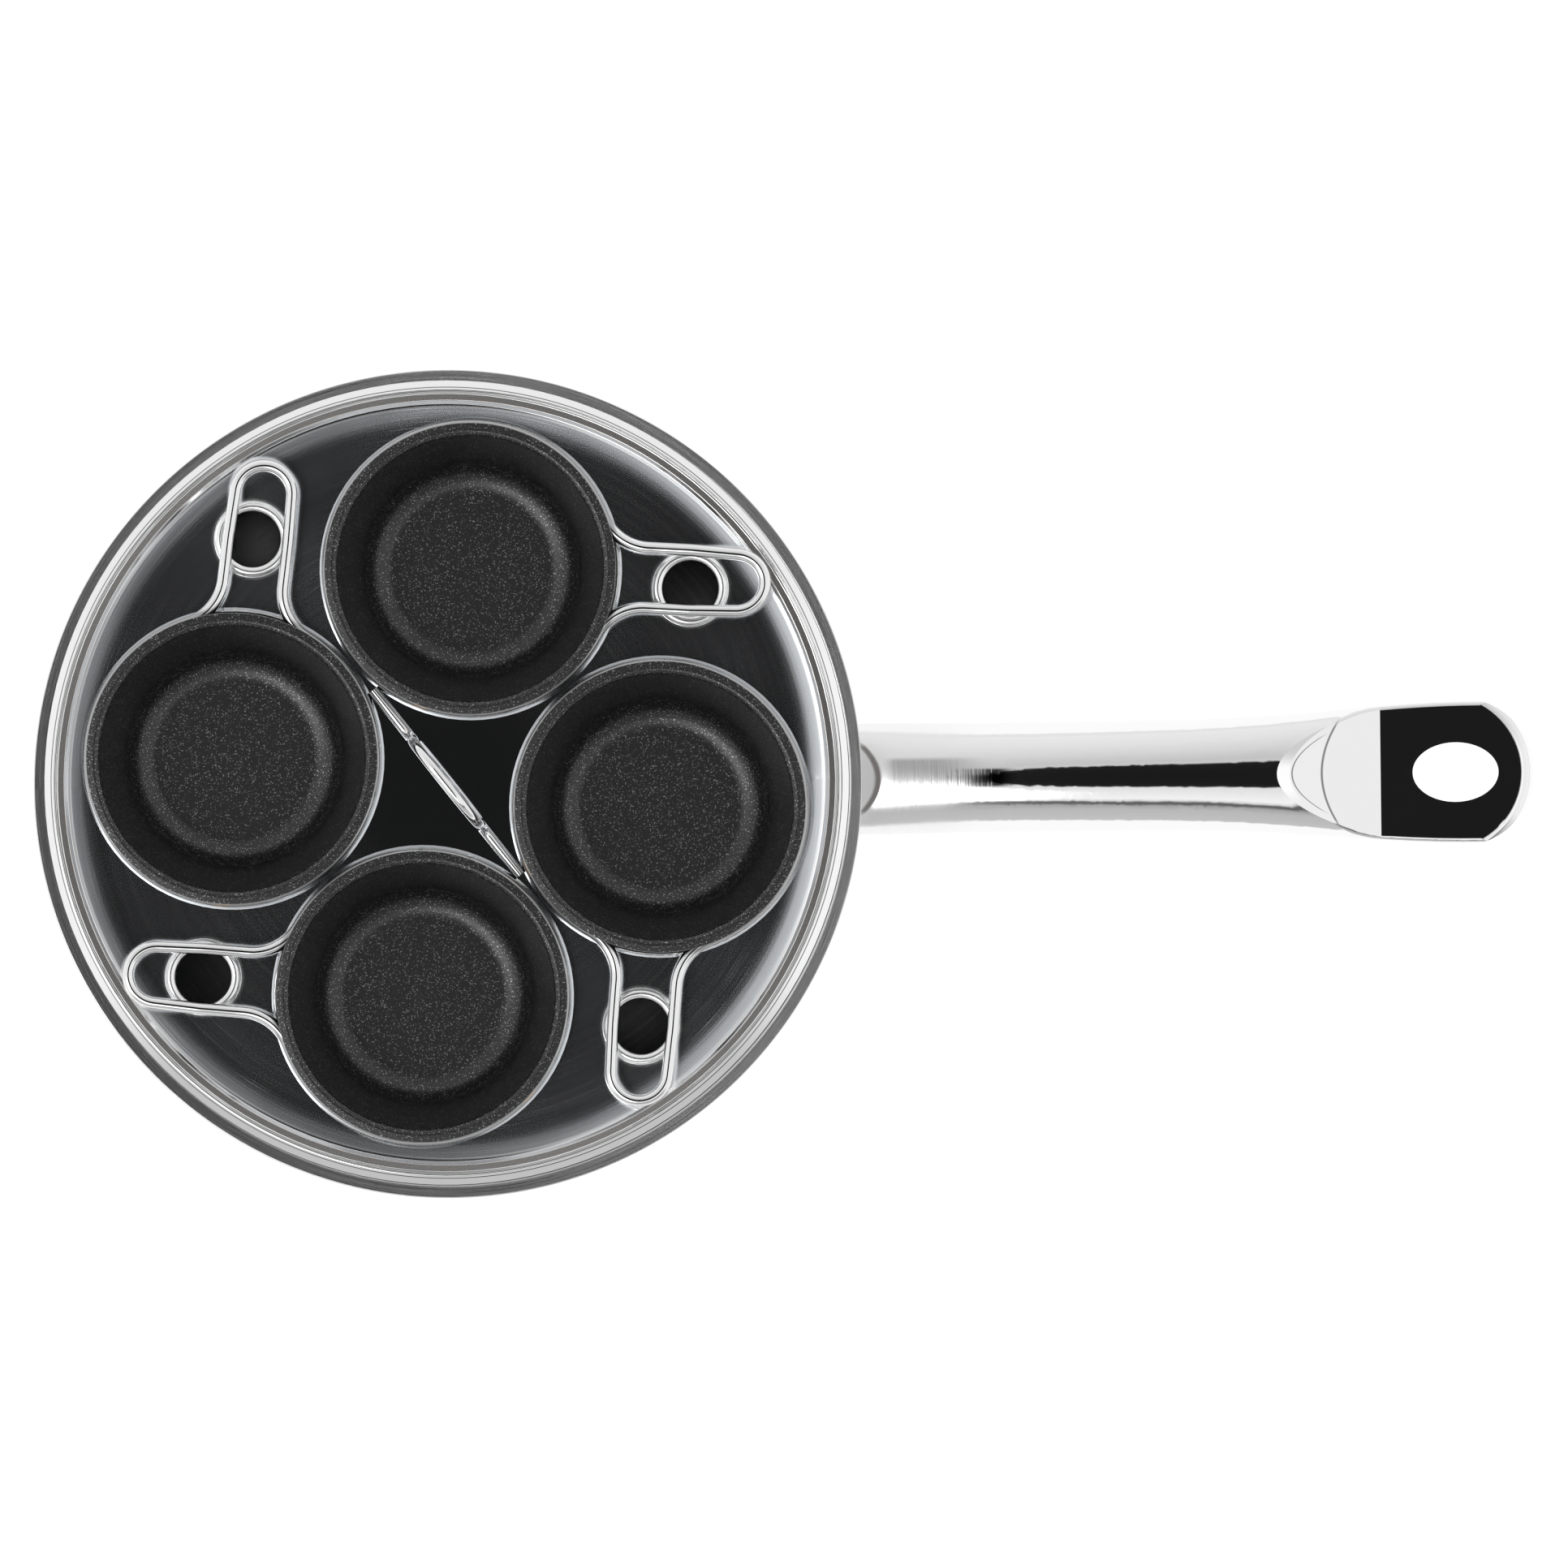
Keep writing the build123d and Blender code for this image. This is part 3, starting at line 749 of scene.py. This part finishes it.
def handle_path():
    """Middle line of a cup's wire with its loop along +X: a ring, two legs and the loop."""
    flare_x = sqrt((ring_radius + leg_flare_radius) ** 2
                   - (leg_half_gap + leg_flare_radius) ** 2)
    flare_y = leg_half_gap + leg_flare_radius
    taper = radians(leg_taper_deg)
    narrow = leg_half_gap - (loop_reach - bend_reach) * tan(taper)
    loop_radius = narrow * cos(taper) / (1 - sin(taper))
    loop_x = loop_reach - loop_radius
    leave_deg = degrees(atan2(flare_y, flare_x))

    def arc(centre_x, centre_y, radius, start_deg, end_deg, height):
        count = max(least_arc_steps, round(abs(end_deg - start_deg) * arc_steps_per_degree))
        turns = [radians(start_deg + (end_deg - start_deg) * n / count) for n in range(count + 1)]
        return [(centre_x + radius * cos(t), centre_y + radius * sin(t), height) for t in turns]

    half = arc(0, 0, ring_radius, 180, leave_deg, ring_height)
    half += arc(flare_x, flare_y, leg_flare_radius, 180 + leave_deg, 270, ring_height)[1:]
    half += [(flare_x + leg_lead, leg_half_gap, ring_height),
             (bend_reach, leg_half_gap, loop_height)]
    half += arc(loop_x, 0, loop_radius, 90 - leg_taper_deg, 0, loop_height)
    other = [(x, -y, z) for x, y, z in half[-2:0:-1]]
    return half + other


def turned_about(points, place, bearing_deg):
    """Points turned about +Z and moved to a place."""
    turn = radians(bearing_deg)
    return [(place[0] + x * cos(turn) - y * sin(turn), place[1] + x * sin(turn) + y * cos(turn), z)
            for x, y, z in points]


round_wire = wire_tree()
turned_sheet = turned_tree()


def make_pan():
    corner_height = pan_height - lip_reach * tan(radians(lip_rise_deg))
    section = sheet_section(
        [(0, pan_floor), (pan_inner_radius, pan_floor), (pan_inner_radius, corner_height),
         (pan_inner_radius + lip_reach, pan_height)],
        [pan_corner_bend, lip_bend], pan_sheet, lip_edge_bend, pan_bend_steps)
    shaped("pan", line_mesh("pan_section", section, False), turned_sheet,
           {"Turn Steps": pan_turn_steps, "Place": (0, 0, 0), "Corner": corner_angle,
            "Material": pan_steel}, "pan", "pan_body")


def make_cup(number):
    floor_height = cup_rim_height - cup_depth
    section = sheet_section(
        [(0, floor_height), (cup_floor_radius, floor_height), (cup_mouth_radius, cup_rim_height),
         (cup_rim_radius, cup_rim_height - cup_rim_droop)],
        [cup_floor_bend, cup_mouth_bend], cup_sheet, cup_edge_bend, cup_bend_steps)
    x, y = on_tray(cup_pitch_radius, first_cup_deg + cup_step_deg * (number - 1))
    shaped(f"egg_cup_{number}", line_mesh("cup_section", section, False), turned_sheet,
           {"Turn Steps": cup_turn_steps, "Place": (x, y, 0), "Corner": corner_angle,
            "Material": coating}, f"cup_set_{number}", f"cup_{number}")


def make_cup_handle(number):
    bearing = first_cup_deg + cup_step_deg * (number - 1)
    place = on_tray(cup_pitch_radius, bearing)
    path = turned_about(handle_path(), place, bearing + loop_turn_deg[number - 1])
    weld = radians(weld_deg[number - 1] - photo_roll_deg)
    weld_place = (place[0] + ring_radius * cos(weld), place[1] + ring_radius * sin(weld),
                  ring_height)
    shaped(f"wire_handle_{number}", line_mesh("wire_path", path, True), round_wire,
           {"Diameter": wire_diameter, "Step": cup_wire_step, "Sides": wire_sides,
            "Weld Place": weld_place, "Weld Length": weld_length, "Weld Swell": weld_swell,
            "Corner": corner_angle, "Material": wire},
           f"cup_set_{number}", f"cup_handle_{number}")


def make_lift_handle():
    middle = tray_top + lift_diameter / 2
    points = [(-lift_foot_end, 0, middle), (-lift_arch_foot, 0, middle),
              (-lift_arch_top, 0, middle + lift_arch_height),
              (lift_arch_top, 0, middle + lift_arch_height), (lift_arch_foot, 0, middle),
              (lift_foot_end, 0, middle)]
    bearing = first_cup_deg + cup_step_deg * (1 + 1 / 2)
    path = turned_about(bent(points, lift_bends, lift_bend_steps), tray_centre, bearing)
    far_off = (0, 0, 1)
    shaped("lift_wire", line_mesh("lift_path", path, False), round_wire,
           {"Diameter": lift_diameter, "Step": lift_wire_step, "Sides": wire_sides,
            "Weld Place": far_off, "Weld Length": weld_length, "Weld Swell": 0.0,
            "Corner": corner_angle, "Material": wire}, "insert", "tray_lift_handle")


make_pan()
make_lift_handle()
for cup_number in range(1, cup_count + 1):
    make_cup(cup_number)
    make_cup_handle(cup_number)


# Studio. A tilt is 0 straight up and 1 at the horizon, and a ramp gives the light at each.

hole_stretch = 1.5
hole_limits = (0.25, 0.45)
shaded_side = ((0, 0.01), (0.175, 0.012), (0.195, 0.6), (0.24, 0.54), (0.3, 0.58), (0.4, 0.66),
               (0.6, 0.76), (0.85, 0.82), (1, 0.74))
open_side = ((0, 0.01), (0.18, 0.012), (0.2, 0.25), (0.24, 0.5), (0.27, 1.0), (0.36, 1.0),
             (0.44, 0.84), (0.6, 0.86), (0.84, 0.9), (1, 0.74))
seamed_side = ((0, 0.01), (0.18, 0.012), (0.2, 0.74), (0.3, 0.82), (0.41, 0.9), (0.45, 0.66),
               (0.485, 0.12), (0.515, 0.12), (0.56, 0.38), (0.65, 0.48), (1, 0.55))
floor_sides = 96
floor_opening = 83.5 * mm
floor_reach = 3.0
floor_drop = 0.05 * mm
floor_shade = 0.9
floor_glow = 1.12
floor_glow_share = 0.85
shaded_limits = (0.15, 0.65)
seamed_limits = (-0.45, -0.75)
lamp_bearing_deg = -135.0
lamp_width_limits = (0.75, 0.95)
lamp_top_limits = (0.24, 0.32)
lamp_foot_limits = (0.45, 0.6)
lamp_glow = 2.6
tent_glow = 1.1
backdrop_limits = (0.96, 1.0)
tiny = 1e-6


def ray_kinds(graph):
    """Whether a ray is the camera's own, and whether it is one of gloss or of glass."""
    kinds = ("Is Camera Ray", "Is Glossy Ray", "Is Transmission Ray")
    camera, gloss, glass = (graph.node("ShaderNodeLightPath", out=kind) for kind in kinds)
    return camera, gloss.math("MAXIMUM", glass)


def studio_world():
    """A white tent with the camera's dark hole overhead. The camera itself sees plain white,
    and so do metal and glass from the horizon down, where the background is.

    The ramps give the light by the angle from straight up: softly shaded towards +Y, open
    towards both ends of X, and with the dark seam of the tent's panels towards -Y. A broad
    lamp stands behind the cloth between -X and -Y.
    """
    world = bpy.data.worlds.new("studio")
    world.use_nodes = True
    graph = Graph(world.node_tree)
    x, y, z = graph.split(graph.node("ShaderNodeTexCoord", out="Generated"))
    tilt = z.math("ARCCOSINE") / (pi / 2)
    flat = (x * x + y * y + tiny) ** 0.5
    east = x / flat
    north = y / flat
    stretch = ((east * hole_stretch) ** 2 + north ** 2) ** 0.5
    squeeze = 1 - graph.step(tilt, *hole_limits)
    spread = tilt * (1 + (stretch - 1) * squeeze)
    shaded, opened, seamed = (graph.node("ShaderNodeValToRGB", {"ramp": ramp}, {"Fac": spread})
                              for ramp in (shaded_side, open_side, seamed_side))
    light = graph.blend(graph.step(north, *shaded_limits), opened, shaded)
    light = graph.blend(graph.step(north, *seamed_limits), light, seamed)
    bearing = radians(lamp_bearing_deg)
    facing = east * cos(bearing) + north * sin(bearing)
    lamp = (graph.step(facing, *lamp_width_limits) * graph.step(spread, *lamp_top_limits)
            * (1 - graph.step(spread, *lamp_foot_limits)))
    camera, mirrored = ray_kinds(graph)
    backdrop = camera.math("MAXIMUM", mirrored * graph.step(tilt, *backdrop_limits))
    shown = graph.blend(backdrop, light, grey(1.0))
    strength = (1 - backdrop) * (lamp * lamp_glow + 1) * tent_glow + backdrop
    back = graph.node("ShaderNodeBackground", None, {"Color": shown, "Strength": strength})
    graph.node("ShaderNodeOutputWorld", None, {"Surface": back})
    bpy.context.scene.world = world


def studio_floor():
    """A white floor that takes the pan's shadow. It lies just under the base, is open below it
    and is clear when it is looked at from underneath."""
    turns = [2 * pi * n / floor_sides for n in range(floor_sides)]
    rings = [(reach * cos(turn), reach * sin(turn), -floor_drop)
             for reach in (floor_opening, floor_reach) for turn in turns]
    faces = [(n, n + floor_sides, (n + 1) % floor_sides + floor_sides, (n + 1) % floor_sides)
             for n in range(floor_sides)]
    mesh = bpy.data.meshes.new("floor")
    mesh.from_pydata(rings, [], faces)
    floor = bpy.data.objects.new("floor", mesh)
    bpy.context.scene.collection.objects.link(floor)
    material, graph = finish("pale floor")
    camera, mirrored = ray_kinds(graph)
    seen = camera.math("MAXIMUM", mirrored)
    below = graph.node("ShaderNodeNewGeometry", out="Backfacing")
    paint = graph.node("ShaderNodeBsdfDiffuse", None, {"Color": grey(floor_shade)})
    glow = graph.node("ShaderNodeEmission", None, {"Color": grey(1.0), "Strength": floor_glow})
    clear = graph.node("ShaderNodeBsdfTransparent")
    mixed = graph.node("ShaderNodeMixShader", None, {0: seen * floor_glow_share, 1: paint, 2: glow})
    ground = graph.node("ShaderNodeMixShader", None, {0: below, 1: mixed, 2: clear})
    graph.node("ShaderNodeOutputMaterial", None, {"Surface": ground})
    mesh.materials.append(material)


def photo_camera():
    """Straight down on the pan from far away, with the photograph's framing."""
    roll = radians(-photo_roll_deg)
    camera = bpy.data.cameras.new("camera")
    camera.sensor_width = sensor_width
    camera.lens = sensor_width * camera_distance / frame_width
    camera.clip_end = view_reach
    held = bpy.data.objects.new("camera", camera)
    held.location = (frame_offset * cos(roll), frame_offset * sin(roll),
                     pan_height + camera_distance)
    held.rotation_euler = (0, 0, roll)
    bpy.context.scene.collection.objects.link(held)
    bpy.context.scene.camera = held


studio_world()
studio_floor()
photo_camera()
bpy.context.scene.view_settings.view_transform = "Standard"
